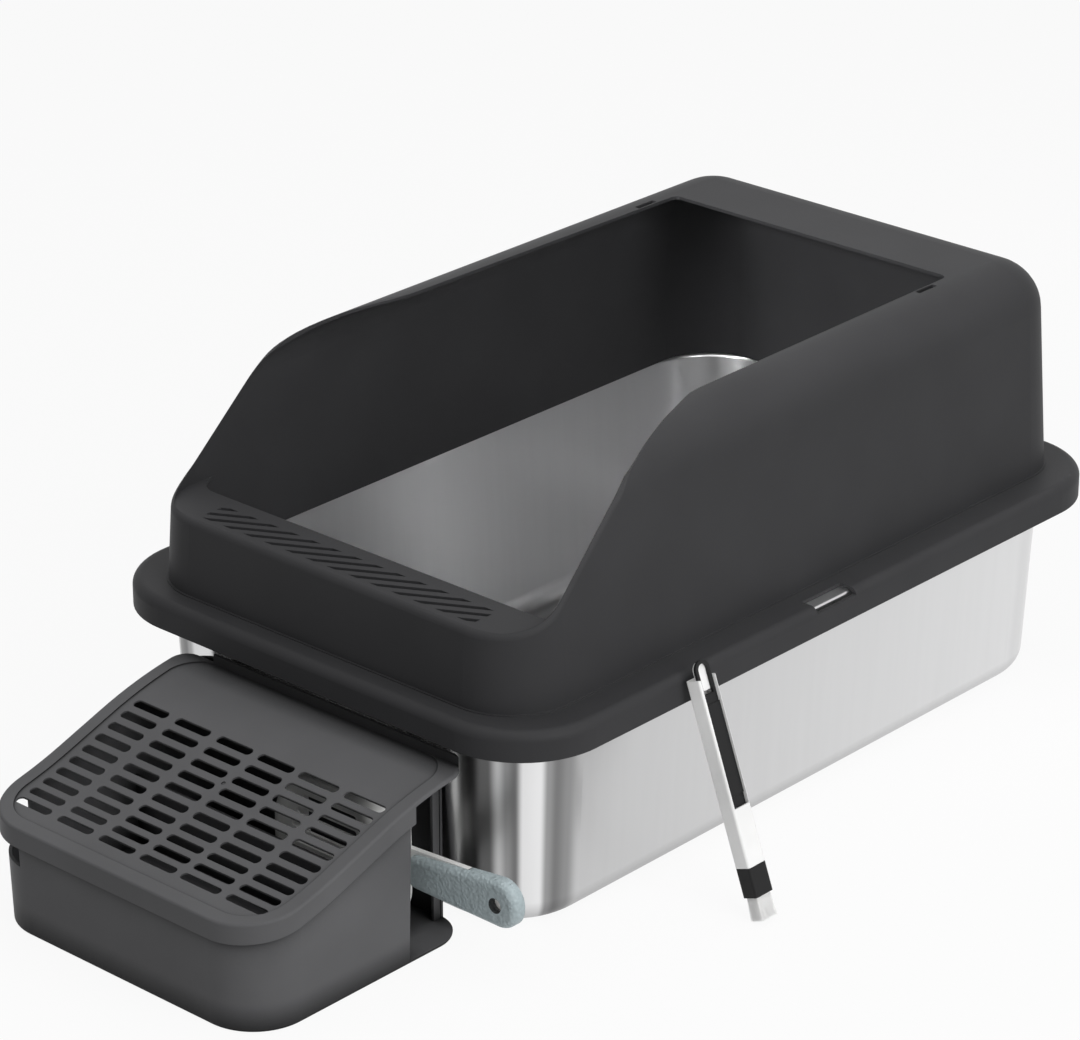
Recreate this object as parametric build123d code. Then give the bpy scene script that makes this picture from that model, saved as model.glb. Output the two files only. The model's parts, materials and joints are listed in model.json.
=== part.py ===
from build123d import *
import os
from math import radians, tan

os.makedirs("parts", exist_ok=True)

# All sizes are in millimetres.
# The origin is the middle of the pan floor, the entrance faces -Y and +Z is up.

# Steel pan
pan_floor_width = 343.6
pan_floor_length = 593.0
pan_floor_corner = 59.0
pan_floor_radius = 18.0
pan_height = 159.2
pan_draft = 2.9
pan_sheet = 1.0
pan_lip_round = 3.0
flange_side = 18.1
flange_end = 9.6
flange_corner = 73.0
flange_drop = 7.0
flange_bend = 1.6

# Hood
hood_wall = 2.5
hood_seat_gap = 0.3
rim_gap = 3.3
rim_corner = 65.0
rim_height = 21.0
rim_round = 7.0
wall_inset_side = 26.9
wall_inset_end = 18.1
wall_corner = 49.0
wall_draft = 3.7
wall_foot = 1.0
hood_rise = 156.0
hood_top_round = 36.0
lip_inset = 49.4
roof_depth = 93.9
opening_corner = 6.0
lip_knee_inset = 44.7
lip_knee = 222.0
lip_front_inset = 13.9
lip_front = 126.0
lip_round = 80.0
ledge_rise = 56.0
ledge_depth = 48.0
ledge_inner_round = 22.0
edge_round = 5.0
entrance_low = 31.9
entrance_high = 130.7
entrance_high_drop = 5.4
entrance_low_round = 64.0
entrance_high_round = 127.0
entrance_far = 480.0
entrance_far_rise = 16.0

# Hood openings and catches
ledge_field_inset = 24.4
ledge_field_length = 254.0
ledge_field_width = 23.4
ledge_slot_pitch = 19.8
ledge_slot_angle = 28.6
ledge_slot_width = 4.0
window_length = 42.0
window_width = 15.0
window_depth = 4.5
window_y = -5.5
hook_length = 26.0
hook_height = 6.0
hook_lift = 5.0
hook_gap = 0.8
lip_slot_length = 20.0
lip_slot_width = 4.5
lip_slot_inset = 1.6
lip_slot_setback = 30.0

# Step base
step_centre = 10.0
step_gap = 7.0
base_width = 253.2
base_length = 198.5
base_corner = 40.0
base_rear_corner = 28.0
base_edge_round = 2.0
base_wall = 2.2
base_floor = 2.5
base_draft = 1.7
bay_depth = 58.0
bay_wall_setback = 6.0
bay_wall_height = 54.0
back_wall_gap = 0.4
back_wall_setback = 24.8
back_wall_return = 9.0
return_groove = 1.0
notch_width = 35.5
notch_bottom = 50.0

# Step lid
tread_rise = 47.1
tread_rim_gap = 7.6
tread_round = 330.0
lid_sheet = 2.4
lid_wall = 2.0
lid_skirt = 14.5
lid_skirt_past = 1.5
lid_gap = 0.4
lid_rear_inset = 7.5
lid_rear_corner = 14.0
lid_kerb = 2.5
lid_kerb_height = 5.0
lid_kerb_left = 102.0
lid_recess = 1.0
lid_border = 11.0
lid_field_round = 24.0
lid_top_round = 2.0
gate_mark = 3.0
gate_depth = 0.6
slot_rows = 10
slot_first = 70.5
slot_last = 177.5
slot_width = 6.6
slot_short = 32.4
slot_long = 35.4

# Scoop
scoop_side_gap = 34.6
scoop_head_length = 98.0
scoop_top_gap = 26.4
scoop_head_depth = 35.0
scoop_bay_gap = 4.0
scoop_seat_gap = 0.3
scoop_wall = 2.2
scoop_edge_round = 9.0
scoop_tip_round = 46.0
scoop_shoulder = 24.0
scoop_slots = 7
scoop_slot_width = 5.0
scoop_slot_border = 13.0
scoop_slot_margin = 16.0
handle_reach = 108.5
handle_drop = 13.3
handle_rise = 6.7
handle_end_drop = 14.3
handle_end_rise = 21.5
handle_root = 12.0
core_thickness = 4.0
core_margin = 2.5
core_end_margin = 9.5
core_rise = 11.0
core_end_rise = 18.2
grip_setback = 17.0
grip_thickness = 10.0
grip_start = 10.0
grip_start_round = 9.0
grip_round = 5.0
hang_hole = 10.5
hang_hole_inset = 17.5
hang_hole_rise = 2.0

# Crevice brush
brush_rim_gap = 7.6744
brush_y = -160.9
brush_lean = 20.3
brush_width = 17.5
brush_depth = 13.0
brush_corner = 2.0
brush_lift = 2.0
bristle_length = 17.5
ferrule_length = 20.5
sleeve_length = 131.0
sleeve_wall = 1.5
sleeve_box_length = 41.0
sleeve_gap = 0.35
sleeve_seat = 0.3
tongue_block = 9.0
tongue_thickness = 1.6
loop_reach = 12.0
loop_hole_length = 21.0
loop_setback = 0.8
loop_thickness = 2.2
loop_wall = 2.4
pad_drop = 30.0
pad_recess = 8.0
bar_root = 4.0
bristle_columns = 23
bristle_rows = 14
bristle_size = 0.34
bristle_splay = 0.16
bristle_plate = 1.2
bristle_margin = 1.0

# Shared planes and outlines
beyond = 1000.0
pan_grow = tan(radians(pan_draft))
pan_flange_width = pan_floor_width + 2 * (pan_height * pan_grow + flange_side)
pan_flange_length = pan_floor_length + 2 * (pan_height * pan_grow + flange_end)
rim_width = pan_flange_width + 2 * (rim_gap + hood_wall)
rim_length = pan_flange_length + 2 * (rim_gap + hood_wall)
wall_low = pan_height + hood_seat_gap
rim_top = wall_low + hood_wall
rim_bottom = rim_top - rim_height
wall_width = rim_width - 2 * wall_inset_side
wall_length = rim_length - 2 * wall_inset_end
wall_shrink = tan(radians(wall_draft))
hood_top = rim_top + hood_rise
opening_width = wall_width - 2 * lip_inset
opening_back = wall_length / 2 - roof_depth
ledge_height = rim_top + ledge_rise
ledge_inner = -wall_length / 2 + ledge_depth
base_grow = tan(radians(base_draft))
tread_rear = rim_bottom - lid_kerb_height - tread_rim_gap
tread_front = tread_rear - tread_rise
base_rear = -pan_floor_length / 2 - step_gap
base_front = base_rear - base_length
side_wall_rear = base_rear - bay_depth
back_wall_y = -pan_floor_length / 2 - tread_rear * pan_grow - back_wall_gap
lid_rear = base_rear - lid_rear_inset
back_wall_right = step_centre + base_width / 2 - back_wall_setback
lid_inner_half = base_width / 2 + tread_rear * base_grow + lid_gap
lid_outer_half = lid_inner_half + lid_wall
lid_inner_front = base_front - tread_front * base_grow - lid_gap
lid_outer_front = lid_inner_front - lid_wall
scoop_head_height = tread_rear - scoop_top_gap
scoop_slot_field = scoop_head_height - 2 * scoop_slot_border
scoop_right = step_centre + base_width / 2 - scoop_side_gap
scoop_left = scoop_right - scoop_head_length
scoop_front = side_wall_rear + scoop_bay_gap
scoop_middle = base_floor + scoop_seat_gap + scoop_head_height / 2
grip_front = scoop_front + grip_setback
core_front = grip_front + grip_thickness - core_thickness
handle_end = scoop_right + handle_reach
brush_x = rim_width / 2 + brush_rim_gap + rim_top * tan(radians(brush_lean))
sleeve_low = bristle_length + ferrule_length + sleeve_seat
sleeve_high = sleeve_low + sleeve_length
bore_x = brush_depth - 2 * sleeve_wall
bore_y = brush_width - 2 * sleeve_wall
bar_x = bore_x - 2 * sleeve_gap
bar_y = bore_y - 2 * sleeve_gap
loop_front = bar_x / 2 - loop_setback
loop_back = loop_front - loop_thickness
brush_top = sleeve_high + loop_reach


def slab(width, length, corner, low, high):
    outline = Plane.XY.offset(low) * RectangleRounded(width, length, corner)
    return extrude(outline, high - low)


def drafted(width, length, corner, low, high, draft):
    outline = Plane.XY.offset(low) * RectangleRounded(width, length, corner)
    return extrude(outline, high - low, taper=draft)


def block(x0, x1, y0, y1, z0, z1):
    middle = Pos((x0 + x1) / 2, (y0 + y1) / 2, (z0 + z1) / 2)
    return middle * Box(x1 - x0, y1 - y0, z1 - z0)


def across(outline):
    return Pos(-beyond, 0, 0) * extrude(Plane.YZ * outline, 2 * beyond)


def along_y(outline, front, depth):
    plane = Plane((0, front, 0), x_dir=(1, 0, 0), z_dir=(0, -1, 0))
    return extrude(plane * outline, -depth)


# Area above or below a run of straight lines with rounded corners.
def profile(points, rounds, far):
    first_y, first_z = points[0]
    last_y, last_z = points[-1]
    shape = make_face(Polyline(*points, (last_y, far), (first_y, far), (first_y, first_z)))
    for corner, radius in zip(points[1:-1], rounds):
        shape = fillet(shape.vertices().sort_by_distance(corner)[0], radius)
    return shape


# Steel pan: one drawn sheet with a flat flange and a turned-down rim.
def steel_pan():
    outer = drafted(pan_floor_width, pan_floor_length, pan_floor_corner, 0, pan_height, -pan_draft)
    outer = fillet(outer.edges().group_by(Axis.Z)[0], pan_floor_radius)
    flange_low = pan_height - flange_drop
    flange = slab(pan_flange_width, pan_flange_length, flange_corner, flange_low, pan_height)
    flange = fillet(flange.edges().group_by(Axis.Z)[-1], flange_bend)
    two_sheets = 2 * pan_sheet
    under = slab(
        pan_flange_width - two_sheets, pan_flange_length - two_sheets, flange_corner - pan_sheet,
        flange_low, pan_height - pan_sheet,
    )
    under = fillet(under.edges().group_by(Axis.Z)[-1], flange_bend - pan_sheet)
    inset = two_sheets * (1 - pan_grow)
    hollow = drafted(
        pan_floor_width - inset, pan_floor_length - inset, pan_floor_corner - pan_sheet,
        pan_sheet, pan_height + pan_sheet, -pan_draft,
    )
    hollow = fillet(hollow.edges().group_by(Axis.Z)[0], pan_floor_radius - pan_sheet)
    body = outer + (flange - under) - hollow
    underside = body.faces().filter_by(lambda f: f.normal_at().Z < -0.99).sort_by(Axis.Z)[-1]
    body = fillet(underside.inner_wires()[0].edges(), pan_lip_round - pan_sheet)
    lip = body.faces().sort_by(Axis.Z)[-1].inner_wires()[0].edges()
    return fillet(lip, pan_lip_round)


# Entrance cut: everything above a line that rises from the ledge to the top, across the whole width.
def entrance_cut():
    front = -wall_length / 2
    points = [
        (front - beyond / 10, ledge_height), (front + entrance_low, ledge_height),
        (front + entrance_high, hood_top - entrance_high_drop),
        (front + entrance_far, hood_top + entrance_far_rise),
    ]
    return across(profile(points, (entrance_low_round, entrance_high_round), beyond))


# Hood: one moulding with the rim, the walls, the lip and the front ledge.
def hood():
    low_width = wall_width + 2 * hood_wall * wall_shrink
    low_length = wall_length + 2 * hood_wall * wall_shrink
    low_corner = wall_corner + hood_wall * wall_shrink
    shell = drafted(low_width, low_length, low_corner, wall_low, hood_top, wall_draft)
    shell = fillet(shell.edges().group_by(Axis.Z)[-1], hood_top_round)
    fence_top = hood_top + hood_top_round / 2
    fence = drafted(low_width, low_length, low_corner, wall_low, fence_top, wall_draft)
    fence -= entrance_cut()
    ledge_edges = fence.edges().filter_by(lambda e: e.center().Z > ledge_height - hood_wall)
    fence = fillet(ledge_edges.sort_by(Axis.Y)[0], edge_round)
    shell = shell & fence
    foot = slab(
        wall_width + 2 * wall_foot, wall_length + 2 * wall_foot, wall_corner + wall_foot,
        wall_low, rim_top + wall_foot,
    )

    rim = slab(rim_width, rim_length, rim_corner, rim_bottom, rim_top)
    rim = fillet(rim.edges().group_by(Axis.Z)[-1], rim_round)
    two_walls = 2 * hood_wall
    under = slab(
        rim_width - two_walls, rim_length - two_walls, rim_corner - hood_wall, rim_bottom, wall_low,
    )
    under = fillet(under.edges().group_by(Axis.Z)[-1], rim_round - hood_wall)

    more = (wall_low - rim_bottom) * wall_shrink
    room = drafted(
        low_width - two_walls + 2 * more, low_length - two_walls + 2 * more,
        low_corner - hood_wall + more, rim_bottom, hood_top - hood_wall, wall_draft,
    )
    room = fillet(room.edges().group_by(Axis.Z)[-1], hood_top_round - hood_wall)
    body = shell + foot + (rim - under) - (room - ledge_sheet()) - roof_opening()
    for side in (-1, 1):
        body -= rim_window(side)
        body -= lip_slot(side)
        body += catch_hook(side)
    body -= ledge_slots()
    return body


# Roof opening: its sides run straight along the lip, then widen to follow the entrance line.
def roof_opening():
    front = -wall_length / 2
    knee = (wall_width / 2 - lip_knee_inset, front + lip_knee)
    wide = (wall_width / 2 - lip_front_inset, front + lip_front)
    right = [(opening_width / 2, opening_back), knee, wide, (wide[0], ledge_inner)]
    left = [(-x, y) for x, y in reversed(right)]
    shape = make_face(Polyline(*right, *left, right[0]))
    shape = fillet(shape.vertices().group_by(Axis.Y)[-1], opening_corner)
    for side in (-1, 1):
        for x, y in (knee, wide):
            shape = fillet(shape.vertices().sort_by_distance((side * x, y))[0], lip_round)
    return extrude(Plane.XY.offset(hood_top - hood_top_round) * shape, 2 * hood_top_round)


# Front ledge: a flat sheet across the entrance with rounded inner corners.
def ledge_sheet():
    sheet = block(
        -rim_width, rim_width, -rim_length, ledge_inner + ledge_inner_round,
        ledge_height - hood_wall, ledge_height,
    )
    bay_width = wall_width - 2 * hood_wall - 2 * ledge_rise * wall_shrink
    bay = Pos(0, ledge_inner + rim_length / 2) * slab(
        bay_width, rim_length, ledge_inner_round, ledge_height - 2 * hood_wall, ledge_height + hood_wall,
    )
    return sheet - bay


def rim_window(side):
    middle = side * (rim_width - window_width) / 2
    cut = Box(window_width, window_length, 2 * window_depth)
    return Pos(middle, window_y, rim_top) * cut


def lip_slot(side):
    middle = side * (opening_width / 2 + lip_slot_inset + lip_slot_width / 2)
    cut = Box(lip_slot_width, lip_slot_length, hood_top_round)
    return Pos(middle, opening_back - lip_slot_setback, hood_top) * cut


def catch_hook(side):
    inner = pan_flange_width / 2 + hook_gap
    outer = rim_width / 2 - hood_wall / 2
    rib = Box(outer - inner, hook_length, hook_height)
    return Pos(side * (inner + outer) / 2, window_y, rim_bottom + hook_lift + hook_height / 2) * rib


# Drain slots: slanting slots inside a long field on the front ledge.
def ledge_slots():
    middle_y = -wall_length / 2 + ledge_field_inset
    field = Pos(0, middle_y) * Rectangle(ledge_field_length, ledge_field_width)
    each_side = int((ledge_field_length + ledge_field_width) / 2 / ledge_slot_pitch)
    cells = []
    for number in range(-each_side, each_side + 1):
        place = Pos(number * ledge_slot_pitch, middle_y) * Rot(0, 0, ledge_slot_angle)
        bar = place * Rectangle(ledge_field_length, ledge_slot_width)
        cells.append(extrude(Plane.XY.offset(ledge_height - 2 * hood_wall) * (bar & field), 4 * hood_wall))
    return cells


# Tread corners: share of the base length from its front, and share of the rise.
TREAD = [(-0.302, -0.189), (0.223, 0.138), (0.786, 0.952), (1.310, 1.062)]


# Everything below the tread, lowered by a drop.
def below_tread(drop):
    points = [(base_front + along * base_length, tread_front + up * tread_rise) for along, up in TREAD]
    return across(Pos(0, -drop) * profile(points, (tread_round, tread_round), -beyond))


def step_outline(half, front, rear, front_round, rear_round):
    shape = Pos(step_centre, (front + rear) / 2) * Rectangle(2 * half, rear - front)
    shape = fillet(shape.vertices().group_by(Axis.Y)[0], front_round)
    return fillet(shape.vertices().group_by(Axis.Y)[-1], rear_round)


# Step base: a tray with a low wall in front of a scoop bay that is open on the right.
def step_base():
    half = base_width / 2
    plan = step_outline(half, base_front, base_rear, base_corner, base_rear_corner)
    outer = extrude(plan, tread_rear, taper=-base_draft)
    outer = fillet(outer.edges().group_by(Axis.Z)[0], base_edge_round)
    inner_plan = step_outline(
        half - base_wall, base_front + base_wall, base_rear - base_wall, base_corner - base_wall,
        base_rear_corner - base_wall,
    )
    inner = extrude(Plane.XY.offset(base_floor) * inner_plan, tread_rear, taper=-base_draft)
    inner = inner & block(-beyond, beyond, -beyond, back_wall_y - base_wall, 0, beyond)
    behind = block(-beyond, beyond, back_wall_y, 0, base_floor, beyond)
    open_end = block(back_wall_right, beyond, side_wall_rear, 0, base_floor, beyond)
    bay_wall_front = side_wall_rear - bay_wall_setback
    bay_wall = block(
        -beyond, beyond, bay_wall_front, bay_wall_front + base_wall, base_floor / 2, bay_wall_height,
    )
    tub = outer - inner - behind - open_end + (bay_wall & outer) + wall_return()
    tub = tub & below_tread(lid_sheet + lid_gap)
    notch_x = step_centre - half
    notch = block(
        -beyond, notch_x + notch_width, -beyond, base_front + base_corner, notch_bottom, beyond,
    )
    return tub - notch


# Wall return: the back wall is turned in at its open end and has a shallow groove there.
def wall_return():
    low = base_floor / 2
    front = back_wall_y - back_wall_return
    turned = block(back_wall_right - base_wall, back_wall_right, front, back_wall_y, low, tread_rear)
    groove_y = back_wall_y - back_wall_return / 3
    return turned - block(
        back_wall_right - return_groove, beyond, groove_y, groove_y + return_groove, base_floor, beyond,
    )


# Step lid: a tread with a raised border, a skirt and rows of round-ended slots.
def step_lid():
    plan = step_outline(
        lid_outer_half, lid_outer_front, lid_rear, base_corner + lid_gap + lid_wall, lid_rear_corner,
    )
    lid = extrude(plan, 2 * tread_rear) & below_tread(0)
    lid -= below_tread(lid_skirt)
    crown = lid.faces().filter_by(lambda f: f.normal_at().Z > 0.8)
    side_edges = crown.edges().filter_by(Axis.X, reverse=True)
    front_edge = crown.edges().filter_by(Axis.X).sort_by(Axis.Y)[0]
    lid = fillet(side_edges + [front_edge], lid_top_round)
    under = below_tread(lid_sheet)
    room_plan = step_outline(
        lid_inner_half, lid_inner_front, lid_rear + 2 * base_corner, base_corner + lid_gap, base_corner,
    )
    lid -= extrude(room_plan, 2 * tread_rear) & under
    lid -= block(-beyond, beyond, side_wall_rear + lid_skirt_past, 0, 0, 2 * tread_rear) & under
    kerb_front = lid_rear - lid_kerb
    field = step_outline(
        lid_outer_half - lid_border, lid_outer_front + lid_border, kerb_front,
        base_corner - lid_border, lid_field_round,
    )
    lid -= extrude(field, 2 * tread_rear) - below_tread(lid_recess)
    kerb_top = tread_rear + lid_kerb_height
    kerb_left = step_centre - lid_kerb_left
    kerb = block(kerb_left, beyond, kerb_front, lid_rear, tread_rear - lid_sheet, kerb_top)
    lid += kerb & extrude(plan, 2 * tread_rear)
    return lid - lid_slots() - gate_dimple()


# Gate dimple: the mark where the plastic entered the mould.
def gate_dimple():
    middle_y = base_rear - slot_first - (slot_last - slot_first) / (slot_rows - 1) * 2.5
    pit = extrude(Pos(step_centre, middle_y) * Circle(gate_mark / 2), 2 * tread_rear)
    return pit - below_tread(lid_recess + gate_depth)


# Slot columns: place of each column from the step's middle, and its length.
def lid_slots():
    columns = [
        (-100.0, slot_short), (-59.7, slot_short), (-19.7, slot_short), (19.1, slot_short),
        (58.4, slot_long), (100.2, slot_long),
    ]
    pitch = (slot_last - slot_first) / (slot_rows - 1)
    cells = []
    for x, length in columns:
        for row in range(slot_rows):
            place = Pos(step_centre + x, base_rear - slot_first - row * pitch)
            cells.append(place * extrude(SlotOverall(length, slot_width), 2 * tread_rear))
    return cells


# Handle outlines, seen from the front: a tapered grip with a round end, and the core inside it.
def handle_height(x, start, end):
    share = (x - scoop_right + handle_root) / (handle_reach + handle_root)
    return scoop_middle + start + share * (end - start)


def grip_outline():
    left = scoop_right + grip_start
    shape = make_face(Polyline(
        (left, handle_height(left, -handle_drop, -handle_end_drop)),
        (handle_end, scoop_middle - handle_end_drop), (handle_end, scoop_middle + handle_end_rise),
        (left, handle_height(left, handle_rise, handle_end_rise)),
        (left, handle_height(left, -handle_drop, -handle_end_drop)),
    ))
    end_round = 0.44 * (handle_end_drop + handle_end_rise)
    shape = fillet(shape.vertices().group_by(Axis.X)[-1], end_round)
    return fillet(shape.vertices().group_by(Axis.X)[0], grip_start_round)


def core_outline():
    left = scoop_right - handle_root
    end = handle_end - core_end_margin
    low = scoop_middle - handle_drop + core_margin
    return make_face(Polyline(
        (left, low), (end, low), (end, scoop_middle + core_end_rise),
        (left, scoop_middle + core_rise), (left, low),
    ))


def hang_hole_outline():
    return Pos(handle_end - hang_hole_inset, scoop_middle + hang_hole_rise) * Circle(hang_hole / 2)


def head_outline(inset):
    middle = Pos((scoop_left + scoop_right) / 2, scoop_middle)
    shape = middle * Rectangle(scoop_head_length - 2 * inset, scoop_head_height - 2 * inset)
    tip_round = min(scoop_tip_round, 0.46 * scoop_head_height)
    shape = fillet(shape.vertices().group_by(Axis.X)[0], tip_round - inset)
    return fillet(shape.vertices().group_by(Axis.X)[-1], scoop_shoulder - inset)


# Scoop body: a slotted head and the core of its handle, stored on edge.
def scoop_body():
    head = along_y(head_outline(0), scoop_front, scoop_head_depth)
    head = fillet(head.faces().sort_by(Axis.Y)[0].edges(), scoop_edge_round)
    hollow = along_y(head_outline(scoop_wall), scoop_front + scoop_wall, scoop_head_depth)
    hollow = fillet(hollow.faces().sort_by(Axis.Y)[0].edges(), scoop_edge_round - scoop_wall)
    core = along_y(core_outline(), core_front, core_thickness)
    body = head + core - hollow
    pitch = scoop_slot_field / scoop_slots
    for row in range(scoop_slots):
        rise = (row - (scoop_slots - 1) / 2) * pitch
        length = scoop_head_length - 2 * scoop_slot_margin - abs(rise) / 2
        slot_middle = scoop_right - scoop_slot_margin - length / 2
        slot = Pos(slot_middle, scoop_middle + rise) * SlotOverall(length, scoop_slot_width)
        body -= along_y(slot, scoop_front - scoop_wall, 3 * scoop_wall)
    return body - along_y(hang_hole_outline(), core_front - 1, core_thickness + 2)


# Scoop grip: a soft skin moulded round the front, the end and the lower edge of the core.
def scoop_grip():
    skin = along_y(grip_outline(), grip_front, grip_thickness)
    skin = fillet(skin.faces().sort_by(Axis.Y)[0].edges(), grip_round)
    skin -= along_y(core_outline(), core_front, core_thickness)
    return skin - along_y(hang_hole_outline(), grip_front - 1, grip_thickness + 2)


# The brush is modelled upright, then leant towards the rim.
def brush_frame(shape):
    return Pos(brush_x, brush_y, brush_lift) * Rot(0, -brush_lean, 0) * shape


# Flat strip that stands upright in the brush, with a round top.
def round_strip(back, front, half, low, high):
    strip = block(back, front, -half, half, low, high)
    return fillet(strip.edges().filter_by(Axis.X).group_by(Axis.Z)[-1], 0.97 * half)


# Brush sleeve: a channel closed round its lower end, with a tongue that fills the loop from behind.
def brush_sleeve():
    section = Plane.XY.offset(sleeve_low) * RectangleRounded(brush_depth, brush_width, brush_corner)
    body = extrude(section, sleeve_length)
    body -= Pos(0, 0, (sleeve_low + sleeve_high) / 2) * Box(bore_x, bore_y, 2 * sleeve_length)
    open_low = sleeve_low + sleeve_box_length
    body -= block(0, brush_depth, -bore_y / 2, bore_y / 2, open_low, 2 * sleeve_high)
    front = loop_back - sleeve_gap
    block_low = sleeve_high - tongue_block
    body += block(-bore_x / 2, front, -bore_y / 2, bore_y / 2, block_low, sleeve_high)
    tongue_half = bar_y / 2 - loop_wall / 2
    body += round_strip(front - tongue_thickness, front, tongue_half, block_low, brush_top - loop_wall / 2)
    return brush_frame(body)


# Brush handle: a bar with a raised pad, a thin loop on top and a ferrule below.
def brush_handle():
    section = Plane.XY.offset(bristle_length) * RectangleRounded(brush_depth, brush_width, brush_corner)
    ferrule = extrude(section, ferrule_length)
    bar_low = bristle_length + bar_root
    pad_top = brush_top - pad_drop
    bar = block(-bar_x / 2, bar_x / 2, -bar_y / 2, bar_y / 2, bar_low, pad_top)
    recess_low = sleeve_low + sleeve_box_length
    bar -= block(loop_front, bar_x, -bar_y, bar_y, recess_low, recess_low + pad_recess)
    loop = round_strip(loop_back, loop_front, bar_y / 2, pad_top - pad_recess, brush_top)
    hole_half = bar_y / 2 - loop_wall
    hole_top = brush_top - loop_wall
    loop -= round_strip(loop_back - 1, loop_front + 1, hole_half, hole_top - loop_hole_length, hole_top)
    return brush_frame(ferrule + bar + loop)


# Bristles: a block of strands that spread a little towards the floor.
def brush_bristles():
    plate_x = brush_depth - 2 * bristle_margin
    plate_y = brush_width - 2 * bristle_margin
    plate_low = bristle_length - bristle_plate
    plate = block(-plate_x / 2, plate_x / 2, -plate_y / 2, plate_y / 2, plate_low, bristle_length)
    pitch_x = (plate_x - 2 * bristle_margin) / (bristle_rows - 1)
    pitch_y = (plate_y - 2 * bristle_margin) / (bristle_columns - 1)
    root_height = bristle_length - bristle_plate / 2
    strands = []
    for column in range(bristle_columns):
        for row in range(bristle_rows):
            x = (row - (bristle_rows - 1) / 2) * pitch_x
            y = (column - (bristle_columns - 1) / 2) * pitch_y
            strand = Vector(x * bristle_splay, y * bristle_splay, -root_height)
            root = Plane.XY.offset(root_height) * Pos(x, y) * Rectangle(bristle_size, bristle_size)
            strands.append(extrude(root, strand.length, dir=strand.normalized()))
    return brush_frame(plate + strands)


def save(name, shape):
    shape.label = name
    export_step(shape, "parts/" + name + ".step")


save("steel_pan", steel_pan())
save("hood", hood())
save("step_base", step_base())
save("step_lid", step_lid())
save("scoop_body", scoop_body())
save("scoop_grip", scoop_grip())
save("brush_sleeve", brush_sleeve())
save("brush_handle", brush_handle())
save("brush_bristles", brush_bristles())
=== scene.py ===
# %% [markdown]
# # A stainless steel litter box
# The real object is a drawn steel pan with a plastic hood on its rim, a slotted step in front of the
# entrance, a scoop stored in the step and a small crevice brush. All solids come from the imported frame,
# in metres, so this script gives them their finishes, adds the one soft piece, and lights the scene.

# %% Load the frame
import json
import math
import random

import bmesh
import bpy
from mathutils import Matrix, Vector


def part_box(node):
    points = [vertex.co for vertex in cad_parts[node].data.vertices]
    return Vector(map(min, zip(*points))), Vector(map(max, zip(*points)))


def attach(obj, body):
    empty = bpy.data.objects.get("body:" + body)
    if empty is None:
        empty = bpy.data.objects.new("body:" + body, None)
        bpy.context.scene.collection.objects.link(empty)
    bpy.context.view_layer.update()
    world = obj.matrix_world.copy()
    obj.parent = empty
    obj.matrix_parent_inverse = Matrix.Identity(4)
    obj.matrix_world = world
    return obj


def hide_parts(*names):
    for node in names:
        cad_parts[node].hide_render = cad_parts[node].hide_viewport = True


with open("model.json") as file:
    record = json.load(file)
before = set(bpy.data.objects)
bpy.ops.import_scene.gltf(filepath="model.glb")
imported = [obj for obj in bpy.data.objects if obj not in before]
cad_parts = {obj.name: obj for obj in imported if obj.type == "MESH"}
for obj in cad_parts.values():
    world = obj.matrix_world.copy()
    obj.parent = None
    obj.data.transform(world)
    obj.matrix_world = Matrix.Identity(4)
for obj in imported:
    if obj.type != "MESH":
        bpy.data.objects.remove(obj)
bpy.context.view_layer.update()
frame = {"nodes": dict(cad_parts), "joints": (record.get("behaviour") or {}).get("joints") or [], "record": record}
nodes = frame["nodes"]
MM = 0.001

# %% [markdown]
# ## Starting a finish
# Each surface of the real object is one material with small changes of tone and gloss. It could be a
# painted picture, but a picture needs an unwrapped mesh. Here a finish is one shader with a small graph
# of nodes in front of it, which covers every side. The owner of a graph is a material, or the world that
# lights the scene.


# %% Starting a finish
def new_finish(name, colour, roughness, metallic=0.0, specular=0.5):
    material = bpy.data.materials.new(name)
    material.use_nodes = True
    shader = shader_of(material)
    shader.inputs["Base Color"].default_value = (*colour, 1.0)
    shader.inputs["Roughness"].default_value = roughness
    shader.inputs["Metallic"].default_value = metallic
    shader.inputs["Specular IOR Level"].default_value = specular
    return material


def shader_of(material):
    return material.node_tree.nodes["Principled BSDF"]


def add(owner, kind, **settings):
    node = owner.node_tree.nodes.new("ShaderNode" + kind)
    for key, value in settings.items():
        setattr(node, key, value)
    return node


def join(owner, out_socket, in_socket):
    owner.node_tree.links.new(out_socket, in_socket)


def dress(node_name, material):
    mesh = nodes[node_name].data
    mesh.materials.clear()
    mesh.materials.append(material)


print("pieces to dress", sorted(nodes))

# %% [markdown]
# ## Patterns in real sizes
# Grain, rub marks and pebbles have a size that can be measured on the object. A pattern could be scaled
# to each piece, but then a long piece would get coarse grain. These patterns read the piece's own
# coordinates in metres, so they keep their size and stay with the piece when it moves.


# %% Patterns in real sizes
def places(material, stretch=(1, 1, 1)):
    coordinates = add(material, "TexCoord")
    mapping = add(material, "Mapping")
    mapping.inputs["Scale"].default_value = stretch
    join(material, coordinates.outputs["Object"], mapping.inputs["Vector"])
    return mapping.outputs["Vector"]


def axes(material, vector):
    split = add(material, "SeparateXYZ")
    join(material, vector, split.inputs["Vector"])
    return split.outputs["X"], split.outputs["Y"], split.outputs["Z"]


def noise(material, size, detail, stretch=(1, 1, 1)):
    texture = add(material, "TexNoise")
    texture.inputs["Scale"].default_value = 1.0 / size
    texture.inputs["Detail"].default_value = detail
    join(material, places(material, stretch), texture.inputs["Vector"])
    return texture.outputs["Fac"]


print("one millimetre is", MM, "in these patterns")

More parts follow.
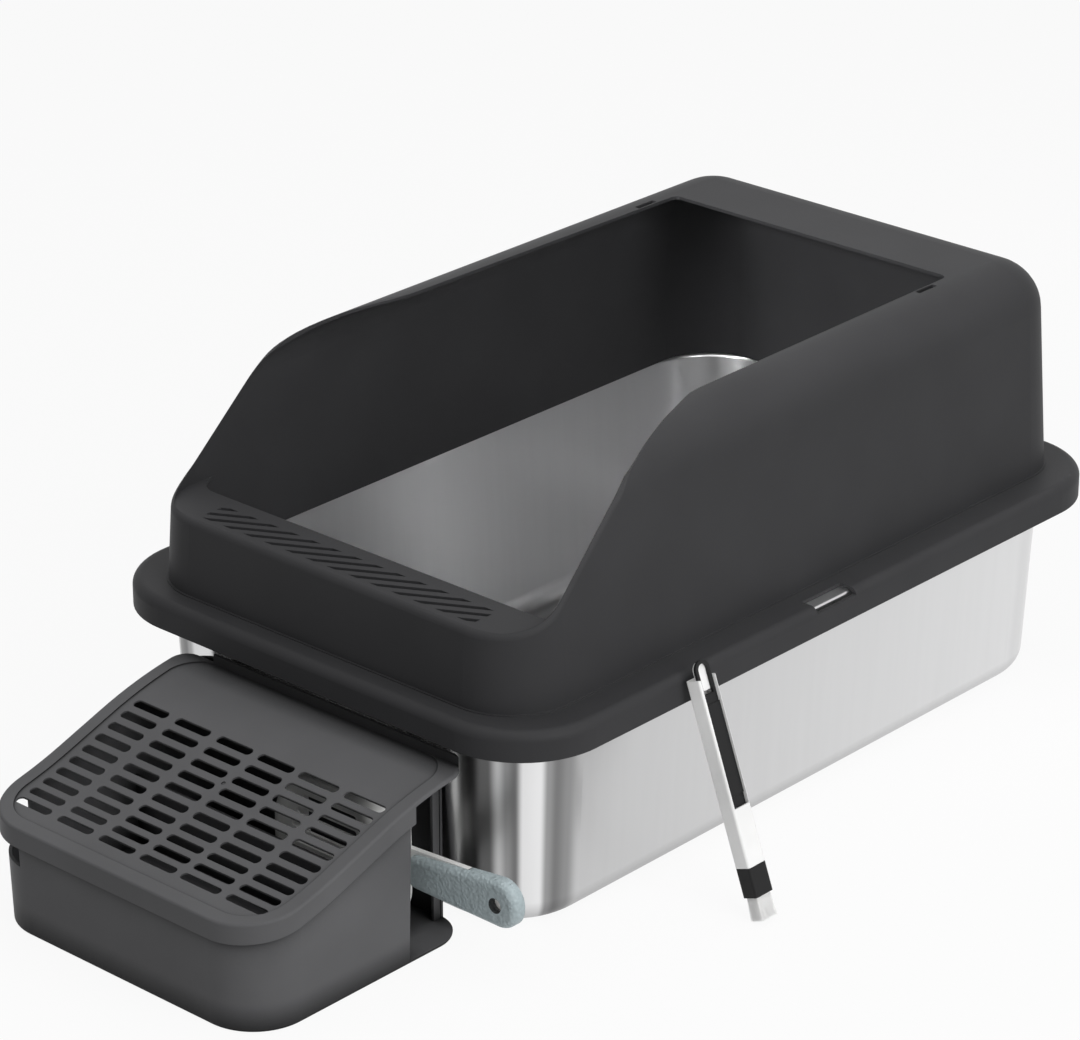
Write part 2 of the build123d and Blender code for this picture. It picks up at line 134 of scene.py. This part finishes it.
# %% [markdown]
# ## Numbers and colours
# A pattern is only a number at each point. These helpers turn it into a tone, a gloss or a mask: one does
# arithmetic, one maps a range of numbers onto another, one picks a colour between two, and one darkens a
# colour by another. Small named steps are easier to follow than one large graph.

# %% Numbers and colours
# Noise lies mostly between these two values.
NOISE_LOW = 0.3
NOISE_HIGH = 0.7
# A Mix node has sockets for each kind of value; these are the ones for colours.
MIX_SHARE, MIX_FIRST, MIX_SECOND = 0, 6, 7
MIX_RESULT = 2


def maths(owner, operation, first, second=0.0):
    node = add(owner, "Math", operation=operation)
    for socket, value in zip(node.inputs, (first, second)):
        if isinstance(value, float):
            socket.default_value = value
        else:
            join(owner, value, socket)
    return node.outputs["Value"]


def between(owner, value, low, high, in_low=NOISE_LOW, in_high=NOISE_HIGH):
    node = add(owner, "MapRange")
    node.inputs["From Min"].default_value = in_low
    node.inputs["From Max"].default_value = in_high
    node.inputs["To Min"].default_value = low
    node.inputs["To Max"].default_value = high
    join(owner, value, node.inputs["Value"])
    return node.outputs["Result"]


def tint(material, value, low_colour, high_colour):
    node = add(material, "ValToRGB")
    first, last = node.color_ramp.elements
    first.position, last.position = NOISE_LOW, NOISE_HIGH
    first.color, last.color = (*low_colour, 1.0), (*high_colour, 1.0)
    join(material, value, node.inputs["Fac"])
    return node.outputs["Color"]


def darken(material, tone, shading, share=1.0):
    node = add(material, "Mix", data_type="RGBA", blend_type="MULTIPLY")
    if isinstance(share, float):
        node.inputs[MIX_SHARE].default_value = share
    else:
        join(material, share, node.inputs[MIX_SHARE])
    join(material, tone, node.inputs[MIX_FIRST])
    join(material, shading, node.inputs[MIX_SECOND])
    return node.outputs[MIX_RESULT]


def grey(level):
    return (level, level, level)


print("noise is read from", NOISE_LOW, "to", NOISE_HIGH)

# %% [markdown]
# ## Bands on the corners of the pan
# The rounded corners of the pan show upright bands, light and dark. In the photograph they are reflections
# of a studio that isn't known. It could be rebuilt with lamps and dark screens, and then the bands would
# follow the light. Here they are painted into the finish, which is simpler, but they stay where they are
# when the light changes. The angle round the corner comes from how far a point lies past the corner's
# centre, and a ramp turns it into a brightness. Flat walls take the brightness at the ends of the ramp.

# %% Bands on the corners of the pan
PAN_FLOOR = Vector((343.6, 593.0)) * MM
PAN_CORNER = 59 * MM
# Degrees round a corner, from an end wall at 0 to a side wall at 90, and the brightness there.
CORNER_BANDS = [
    (0, 0.92), (8, 0.88), (14, 0.42), (20, 0.16), (29, 0.14), (35, 0.6), (40, 0.34), (45, 0.2),
    (50, 0.95), (60, 1.0), (65, 0.36), (71, 0.2), (79, 0.31), (90, 0.69),
]


def past_corner(material, place, corner_centre):
    distance = maths(material, "ABSOLUTE", place)
    return maths(material, "MAXIMUM", maths(material, "SUBTRACT", distance, corner_centre))


# 0 on an end wall, 1 on a side wall.
def turn_of_corner(material, x, y):
    centre = PAN_FLOOR / 2 - Vector((PAN_CORNER, PAN_CORNER))
    sideways = past_corner(material, x, centre.x)
    endways = past_corner(material, y, centre.y)
    angle = maths(material, "ARCTAN2", sideways, endways)
    return maths(material, "DIVIDE", angle, math.pi / 2)


def corner_levels(material, turn):
    ramp = add(material, "ValToRGB")
    ramp.color_ramp.interpolation = "EASE"
    stops = ramp.color_ramp.elements
    while len(stops) < len(CORNER_BANDS):
        stops.new(0.5)
    for stop, (degrees, level) in zip(stops, CORNER_BANDS):
        stop.position = degrees / 90
        stop.color = (*grey(level), 1.0)
    join(material, turn, ramp.inputs["Fac"])
    return ramp.outputs["Color"]


print("levels round a corner", len(CORNER_BANDS), "corner radius", PAN_CORNER)

# %% [markdown]
# ## Where the bands show
# The bands are on the outside of the pan. They keep their strength round the ends, and along the sides they
# fade towards the back. The outer faces could be picked by hand, but comparing the direction of a face with
# its place gives all of them at once.

# %% Where the bands show
REAR_BANDS = 0.1
END_BANDS_FADE = (0.4, 0.55)
# Least distance from the middle of the pan, along a face's own direction, of an outer face.
OUTWARD = 0.01


# Outward faces point away from the middle of the pan, so the inside is left plain.
def outside(material):
    dot = add(material, "VectorMath", operation="DOT_PRODUCT")
    join(material, places(material, (1, 1, 0)), dot.inputs[0])
    join(material, add(material, "NewGeometry").outputs["Normal"], dot.inputs[1])
    return maths(material, "GREATER_THAN", dot.outputs["Value"], OUTWARD)


def bands_strength(material, y, turn):
    along_side = between(material, y, 1.0, REAR_BANDS, -PAN_FLOOR.y / 2, PAN_FLOOR.y / 2)
    round_end = between(material, turn, 1.0, 0.0, *END_BANDS_FADE)
    strength = maths(material, "MAXIMUM", along_side, round_end)
    return maths(material, "MULTIPLY", strength, outside(material))


print("strength at the back of a side", REAR_BANDS)

# %% [markdown]
# ## Satin steel
# The sheet has a satin finish. A mirror with noise would look like chrome, so the shader is rough metal
# whose reflections are stretched upright, with a faint upright grain in tone and gloss. The bend at the
# bottom of the pan is painted darker, as it looks in the photograph: a painted reflection of the floor's shade.

# %% Satin steel
STEEL_DARK = (0.795, 0.795, 0.80)
STEEL_LIGHT = (0.812, 0.812, 0.817)
STEEL_ROUGHNESS = 0.30
STEEL_ROUGHNESS_CHANGE = 0.01
STEEL_GRAIN = 8 * MM
UPRIGHT_GRAIN = (1, 1, 0.03)
REFLECTION_STRETCH = 0.6
QUARTER_TURN = 0.25
BOTTOM_BEND = 18 * MM
BEND_SHADE = 0.5
pan_low, pan_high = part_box("steel_pan")


# Painted reflection of the floor's shade, darker towards the bottom of the pan.
def bottom_shade(material, z):
    height = between(material, z, NOISE_LOW, NOISE_HIGH, 0.0, BOTTOM_BEND)
    return tint(material, height, grey(BEND_SHADE), grey(1.0))


def satin_steel():
    material = new_finish("satin_steel", STEEL_LIGHT, STEEL_ROUGHNESS, metallic=1.0)
    shader = shader_of(material)
    shader.inputs["Anisotropic"].default_value = REFLECTION_STRETCH
    shader.inputs["Anisotropic Rotation"].default_value = QUARTER_TURN
    rub = noise(material, STEEL_GRAIN, detail=2, stretch=UPRIGHT_GRAIN)
    tone = tint(material, rub, STEEL_DARK, STEEL_LIGHT)
    x, y, z = axes(material, places(material))
    turn = turn_of_corner(material, x, y)
    tone = darken(material, tone, corner_levels(material, turn), bands_strength(material, y, turn))
    tone = darken(material, tone, bottom_shade(material, z))
    join(material, tone, shader.inputs["Base Color"])
    smooth = STEEL_ROUGHNESS - STEEL_ROUGHNESS_CHANGE
    rough = STEEL_ROUGHNESS + STEEL_ROUGHNESS_CHANGE
    join(material, between(material, rub, smooth, rough), shader.inputs["Roughness"])
    return material


dress("steel_pan", satin_steel())
print("steel pan", [round(v, 3) for v in pan_high - pan_low])

# %% [markdown]
# ## Moulded plastic
# The plastic pieces are mouldings with a fine grain and softly rounded edges. Such grain is too small to
# model, so a noise of a third of a millimetre bumps the surface and changes the gloss, and a broad noise
# shifts the tone. Edges are rounded in the shading alone, so the solids keep their size. A piece can also
# get painted shade in its deep corners, by how little of its surroundings a point sees.

# %% Moulded plastic
MOULD_GRAIN = 0.35 * MM
MOULD_GRAIN_DEPTH = 0.02 * MM
TONE_PATCH = 60 * MM
TONE_CHANGE = 0.06
GLOSS_CHANGE = 0.04
EDGE_ROUND = 0.6 * MM
EDGE_SAMPLES = 4
CREVICE_SHADE_DEPTH = 2.5
CREVICE_SAMPLES = 8


def soft_edges(material):
    node = add(material, "Bevel", samples=EDGE_SAMPLES)
    node.inputs["Radius"].default_value = EDGE_ROUND
    return node.outputs["Normal"]


def bump(material, height, depth, onto):
    node = add(material, "Bump")
    node.inputs["Distance"].default_value = depth
    join(material, height, node.inputs["Height"])
    join(material, onto, node.inputs["Normal"])
    return node.outputs["Normal"]


# Painted shade: the colour darkens where a point sees little of its surroundings.
def painted_crevice_shade(material, reach):
    node = add(material, "AmbientOcclusion", samples=CREVICE_SAMPLES)
    node.inputs["Distance"].default_value = reach
    return maths(material, "POWER", node.outputs["AO"], CREVICE_SHADE_DEPTH)


def moulded_plastic(name, colour, roughness, gloss, shade_reach=0.0):
    material = new_finish(name, colour, roughness, specular=gloss)
    shader = shader_of(material)
    dark = tuple((1 - TONE_CHANGE) * c for c in colour)
    light = tuple((1 + TONE_CHANGE) * c for c in colour)
    tone = tint(material, noise(material, TONE_PATCH, detail=3), dark, light)
    # Painted shade in the deep corners.
    if shade_reach:
        tone = darken(material, tone, painted_crevice_shade(material, shade_reach))
    join(material, tone, shader.inputs["Base Color"])
    grain = noise(material, MOULD_GRAIN, detail=1)
    gloss_map = between(material, grain, roughness - GLOSS_CHANGE, roughness + GLOSS_CHANGE)
    join(material, gloss_map, shader.inputs["Roughness"])
    surface = bump(material, grain, MOULD_GRAIN_DEPTH, onto=soft_edges(material))
    join(material, surface, shader.inputs["Normal"])
    return material


print("mould grain", MOULD_GRAIN, "edges rounded by", EDGE_ROUND)

# %% [markdown]
# ## Hood and step
# In the photograph the hood looks darker than the step, so each has a finish of its own and the step's is
# the lighter one. The step gets painted shade in its slots and its bay. The hood could do the same, but
# there the shade drew a dark line along its foot, so it is left out.

# %% Hood and step
HOOD_GREY = (0.035, 0.035, 0.0368)
STEP_GREY = (0.109, 0.109, 0.113)
STEP_SHADE_REACH = 22 * MM
dress("hood", moulded_plastic("hood_plastic", HOOD_GREY, roughness=0.55, gloss=0.12))
step_finish = moulded_plastic(
    "step_plastic", STEP_GREY, roughness=0.5, gloss=0.1, shade_reach=STEP_SHADE_REACH
)
dress("step_base", step_finish)
dress("step_lid", step_finish)
print("hood", HOOD_GREY, "step", STEP_GREY)

# %% [markdown]
# ## Scoop body
# The head of the scoop and the core of its handle are one pale moulding, with more gloss than the hood and
# the step. It needs no graph of its own: the plastic finish takes its colour and gloss.

# %% Scoop body
SCOOP_PALE = (0.86, 0.86, 0.845)
dress("scoop_body", moulded_plastic("scoop_plastic", SCOOP_PALE, roughness=0.45, gloss=0.35))
print("scoop", SCOOP_PALE)

# %% [markdown]
# ## Hanging hole
# In the photograph the hole near the end of the handle is dark, so its wall gets painted shade here. Its
# faces could be picked by hand, but the record's mount gives the place and radius of the hole, so a point
# belongs to it when it lies that near to the middle.

# %% Hanging hole
HOLE_MARGIN = 1.03
hang_hole = next(m for m in frame["record"]["mounts"] if m["name"] == "hang_hole")
hole_place = Vector(hang_hole["pos_m"])
hole_radius = hang_hole["dims"]["r_mm"] * MM


def in_hang_hole(material):
    x, y, z = axes(material, places(material))
    across = maths(material, "SUBTRACT", x, hole_place.x)
    up = maths(material, "SUBTRACT", z, hole_place.z)
    across_squared = maths(material, "POWER", across, 2.0)
    up_squared = maths(material, "POWER", up, 2.0)
    distance_squared = maths(material, "ADD", across_squared, up_squared)
    return maths(material, "LESS_THAN", distance_squared, (HOLE_MARGIN * hole_radius) ** 2)


print("hanging hole", [round(v, 4) for v in hole_place], "radius", hole_radius)

# %% [markdown]
# ## Soft grip
# The grip is a soft skin over the core of the handle, with a pebbled surface. Pebbles could be modelled one
# by one, but there are hundreds and they are shallow, so round cells give them as a bump, with painted
# shade in the grooves.

# %% Soft grip
GRIP_DARK = (0.39, 0.46, 0.48)
GRIP_LIGHT = (0.42, 0.49, 0.51)
GRIP_PATCH = 18 * MM
PEBBLE = 2.2 * MM
PEBBLE_DEPTH = 0.7 * MM
PEBBLE_GROOVE_SHADE = 0.9
HOLE_SHADE = 0.06


def pebble_cells(material):
    cells = add(material, "TexVoronoi", feature="SMOOTH_F1")
    cells.inputs["Scale"].default_value = 1.0 / PEBBLE
    join(material, places(material), cells.inputs["Vector"])
    return cells.outputs["Distance"]


def soft_grip():
    material = new_finish("soft_grip", GRIP_LIGHT, roughness=0.5, specular=0.3)
    shader = shader_of(material)
    pebbles = pebble_cells(material)
    tone = tint(material, noise(material, GRIP_PATCH, detail=3), GRIP_DARK, GRIP_LIGHT)
    # Painted shade on the wall of the hanging hole.
    tone = darken(material, tone, tint(material, in_hang_hole(material), grey(1.0), grey(HOLE_SHADE)))
    # Painted shade in the grooves between the pebbles.
    tone = darken(material, tone, tint(material, pebbles, grey(1.0), grey(PEBBLE_GROOVE_SHADE)))
    join(material, tone, shader.inputs["Base Color"])
    surface = bump(material, pebbles, -PEBBLE_DEPTH, onto=soft_edges(material))
    join(material, surface, shader.inputs["Normal"])
    return material


dress("scoop_grip", soft_grip())
print("pebbles", PEBBLE, "deep", PEBBLE_DEPTH)

# %% [markdown]
# ## Brush sleeve and handle
# The sleeve is a white channel with more gloss than the other plastics, and the handle in it is black.
# Both are small mouldings, so they take the same finish as the large ones with their own colour and gloss.

# %% Brush sleeve and handle
SLEEVE_WHITE = (0.89, 0.89, 0.885)
BRUSH_BLACK = (0.014, 0.014, 0.0145)
dress("brush_sleeve", moulded_plastic("sleeve_plastic", SLEEVE_WHITE, roughness=0.32, gloss=0.4))
dress("brush_handle", moulded_plastic("brush_black", BRUSH_BLACK, roughness=0.42, gloss=0.16))
print("sleeve", SLEEVE_WHITE, "handle", BRUSH_BLACK)

# %% [markdown]
# ## One strand
# The bristles are nylon strands set in the black ferrule. A single block with a striped finish would look
# like a sponge, so each strand is a thin tapered prism of four sides, which spreads and bends a little on
# its way down. The lean of the brush comes from the axis on which its sleeve slides.

# %% One strand
BRISTLE_LENGTH = 17.5 * MM
STRAND_ROOT = 0.16 * MM
STRAND_TIP = 0.09 * MM
STRAND_SPLAY = 0.15
STRAND_RINGS = 4
STRAND_SIDES = 4

sleeve_slide = next(j for j in frame["joints"] if j["name"] == "sleeve_draw")
brush_up = Vector(sleeve_slide["axis"])
brush_side = Vector((0, 1, 0))
brush_out = brush_side.cross(brush_up)
tuft_low, tuft_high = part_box("brush_bristles")
tuft_root = (tuft_low + tuft_high) / 2 + brush_up * BRISTLE_LENGTH / 2


def strand(mesh, out, side, bend, length):
    rings = []
    for step in range(STRAND_RINGS + 1):
        share = step / STRAND_RINGS
        spread = 1 + STRAND_SPLAY * share
        centre = tuft_root - brush_up * length * share
        centre += brush_out * (out * spread + bend.x * share**2)
        centre += brush_side * (side * spread + bend.y * share**2)
        half = STRAND_ROOT + (STRAND_TIP - STRAND_ROOT) * share
        corners = [brush_out * half, brush_side * half, -brush_out * half, -brush_side * half]
        rings.append([mesh.verts.new(centre + corner) for corner in corners])
    for upper, lower in zip(rings, rings[1:]):
        for here in range(STRAND_SIDES):
            after = (here + 1) % STRAND_SIDES
            mesh.faces.new((upper[here], upper[after], lower[after], lower[here]))
    mesh.faces.new(rings[0][::-1])
    mesh.faces.new(rings[-1])


print("strand length", BRISTLE_LENGTH, "root of the tuft", [round(v, 4) for v in tuft_root])

# %% [markdown]
# ## Bristle tuft
# The strands stand in rows and columns, and each has a bend and a length of its own, as trimmed nylon has.
# The differences could be new on every run, but then the tuft would never be the same twice, so the draws
# start from a fixed seed.

# %% Bristle tuft
TUFT_DEPTH = 9.0 * MM
TUFT_WIDTH = 13.5 * MM
STRAND_ROWS = 18
STRAND_COLUMNS = 34
STRAND_BEND = 0.3
STRAND_LENGTHS = (0.95, 0.99)
STRAND_SEED = 7


def bristle_tuft():
    draw = random.Random(STRAND_SEED)
    mesh = bmesh.new()
    for row in range(STRAND_ROWS):
        for column in range(STRAND_COLUMNS):
            out = (row / (STRAND_ROWS - 1) - 0.5) * TUFT_DEPTH
            side = (column / (STRAND_COLUMNS - 1) - 0.5) * TUFT_WIDTH
            bend_out = draw.uniform(-STRAND_BEND, STRAND_BEND) * MM
            bend_side = draw.uniform(-STRAND_BEND, STRAND_BEND) * MM
            length = BRISTLE_LENGTH * draw.uniform(*STRAND_LENGTHS)
            strand(mesh, out, side, Vector((bend_out, bend_side)), length)
    bmesh.ops.recalc_face_normals(mesh, faces=mesh.faces)
    data = bpy.data.meshes.new("bristle_strands")
    mesh.to_mesh(data)
    mesh.free()
    tuft = bpy.data.objects.new("bristle_strands", data)
    bpy.context.scene.collection.objects.link(tuft)
    return tuft


bristles = bristle_tuft()
print("strands", STRAND_ROWS * STRAND_COLUMNS, "faces", len(bristles.data.polygons))

# %% [markdown]
# ## Bristle nylon
# The nylon is white, with small changes of tone among the strands, which a fine noise gives. The tuft rides
# on the brush and takes the place of the plainer bristles in the frame, so that only one of them shows.

# %% Bristle nylon
NYLON_DARK = (0.92, 0.92, 0.915)
NYLON_LIGHT = (0.97, 0.97, 0.965)
NYLON_PATCH = 0.6 * MM


def nylon():
    material = new_finish("nylon", NYLON_DARK, roughness=0.4)
    tone = tint(material, noise(material, NYLON_PATCH, detail=2), NYLON_DARK, NYLON_LIGHT)
    join(material, tone, shader_of(material).inputs["Base Color"])
    return material


bristles.data.materials.append(nylon())
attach(bristles, "brush")
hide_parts("brush_bristles")
print("nylon", NYLON_DARK, "to", NYLON_LIGHT)

# %% [markdown]
# ## Floor
# A plain pale floor carries the shadow. It could simply be white, but then it would throw more light on the
# low faces. So it is a light grey, and rays from the camera, and rays that come off a glossy face, see it
# lifted most of the way to white: the background stays clean and a faint shadow remains.

# %% Floor
FLOOR_REACH = 12.0
FLOOR_DROP = 0.3 * MM
FLOOR_COLOUR = (0.72, 0.72, 0.72, 1.0)
FLOOR_TO_CAMERA = 0.92
FLOOR_TO_MIRROR = 0.85


def sees_background(owner, to_camera, to_mirror):
    path = add(owner, "LightPath")
    camera_share = maths(owner, "MULTIPLY", path.outputs["Is Camera Ray"], to_camera)
    gloss_share = maths(owner, "MULTIPLY", path.outputs["Is Glossy Ray"], to_mirror)
    glass_share = maths(owner, "MULTIPLY", path.outputs["Is Transmission Ray"], to_mirror)
    most = maths(owner, "MAXIMUM", camera_share, gloss_share)
    return maths(owner, "MAXIMUM", most, glass_share)


def pale_floor():
    material = bpy.data.materials.new("pale_floor")
    material.use_nodes = True
    material.node_tree.nodes.remove(shader_of(material))
    matt = add(material, "BsdfDiffuse")
    matt.inputs["Color"].default_value = FLOOR_COLOUR
    lift = add(material, "Emission")
    mixed = add(material, "MixShader")
    lifted = sees_background(material, FLOOR_TO_CAMERA, FLOOR_TO_MIRROR)
    join(material, lifted, mixed.inputs["Fac"])
    join(material, matt.outputs["BSDF"], mixed.inputs[1])
    join(material, lift.outputs["Emission"], mixed.inputs[2])
    surface = material.node_tree.nodes["Material Output"].inputs["Surface"]
    join(material, mixed.outputs["Shader"], surface)
    return material


bpy.ops.mesh.primitive_plane_add(size=2 * FLOOR_REACH, location=(0, 0, -FLOOR_DROP))
floor = bpy.context.object
floor.name = "floor"
floor.data.materials.append(pale_floor())
print("floor", FLOOR_COLOUR[:3], "reach", FLOOR_REACH)

# %% [markdown]
# ## Pale room
# The object stands in a pale room that fills the shadows. A bright room would flatten every shape, and a
# dim one would be a grey background, so the room is dim as a light and white where it is seen.

# %% Pale room
WORLD_LEVEL = 0.14
WHITE = (1, 1, 1, 1)


def pale_room():
    world = bpy.data.worlds.new("pale_room")
    world.use_nodes = True
    background = world.node_tree.nodes["Background"]
    background.inputs["Color"].default_value = WHITE
    seen = sees_background(world, 1.0, 1.0)
    level = between(world, seen, WORLD_LEVEL, 1.0, in_low=0.0, in_high=1.0)
    join(world, level, background.inputs["Strength"])
    return world


bpy.context.scene.world = pale_room()
bpy.context.scene.view_settings.view_transform = "Standard"
print("room as a light", WORLD_LEVEL)

# %% [markdown]
# ## Lamps
# One large soft box stands to the right and one hangs overhead, so the right-hand sides are brightest and
# the front is in soft shade. They leave the inside of the hood black, so a small lamp with a narrow beam
# looks in over the ledge. Small bare lamps could do it, but their shadows would have hard edges.

# %% Lamps
OBJECT_MIDDLE = (0.0, -0.1, 0.15)
HOOD_BACK = (0.0, 0.28, 0.22)
INSIDE_BEAM = math.radians(34)


def aim(holder, place, target):
    holder.location = place
    holder.rotation_euler = (Vector(target) - Vector(place)).to_track_quat("-Z", "Y").to_euler()


def soft_box(name, place, target, size, watts):
    lamp = bpy.data.lights.new(name, "AREA")
    lamp.shape = "RECTANGLE"
    lamp.size, lamp.size_y = size
    lamp.energy = watts
    holder = bpy.data.objects.new(name, lamp)
    aim(holder, place, target)
    bpy.context.scene.collection.objects.link(holder)
    return holder


soft_box("right_box", place=(2.3, -0.5, 1.3), target=OBJECT_MIDDLE, size=(1.6, 1.6), watts=38)
soft_box("top_box", place=(0.3, -0.2, 2.6), target=OBJECT_MIDDLE, size=(3.2, 3.2), watts=45)
inside_box = soft_box(
    "inside_box", place=(0.0, -0.80, 0.74), target=HOOD_BACK, size=(0.5, 0.2), watts=0.6
)
inside_box.data.spread = INSIDE_BEAM
inside_box.visible_camera = False
print("lamps", [lamp.name for lamp in bpy.data.lights])

# %% [markdown]
# ## Camera
# The photograph was taken from the front right, from well above the rim and with a long lens. The place
# and the lens could be guessed by eye, but here they come from matching the rim, wall and step edges with
# it. Everything stays sharp, as it is in a product picture.

# %% Camera
CAMERA_PLACE = Vector((1.87330, -2.15044, 1.42076))
CAMERA_TARGET = Vector((-0.04393, -0.03569, 0.15693))
CAMERA_LENS = 145.65
CAMERA_SENSOR = 36.0

camera_data = bpy.data.cameras.new("camera")
camera_data.lens = CAMERA_LENS
camera_data.sensor_width = CAMERA_SENSOR
camera_data.dof.use_dof = False
camera = bpy.data.objects.new("camera", camera_data)
aim(camera, CAMERA_PLACE, CAMERA_TARGET)
bpy.context.scene.collection.objects.link(camera)
bpy.context.scene.camera = camera
print("camera", [round(v, 3) for v in CAMERA_PLACE], "lens", CAMERA_LENS)
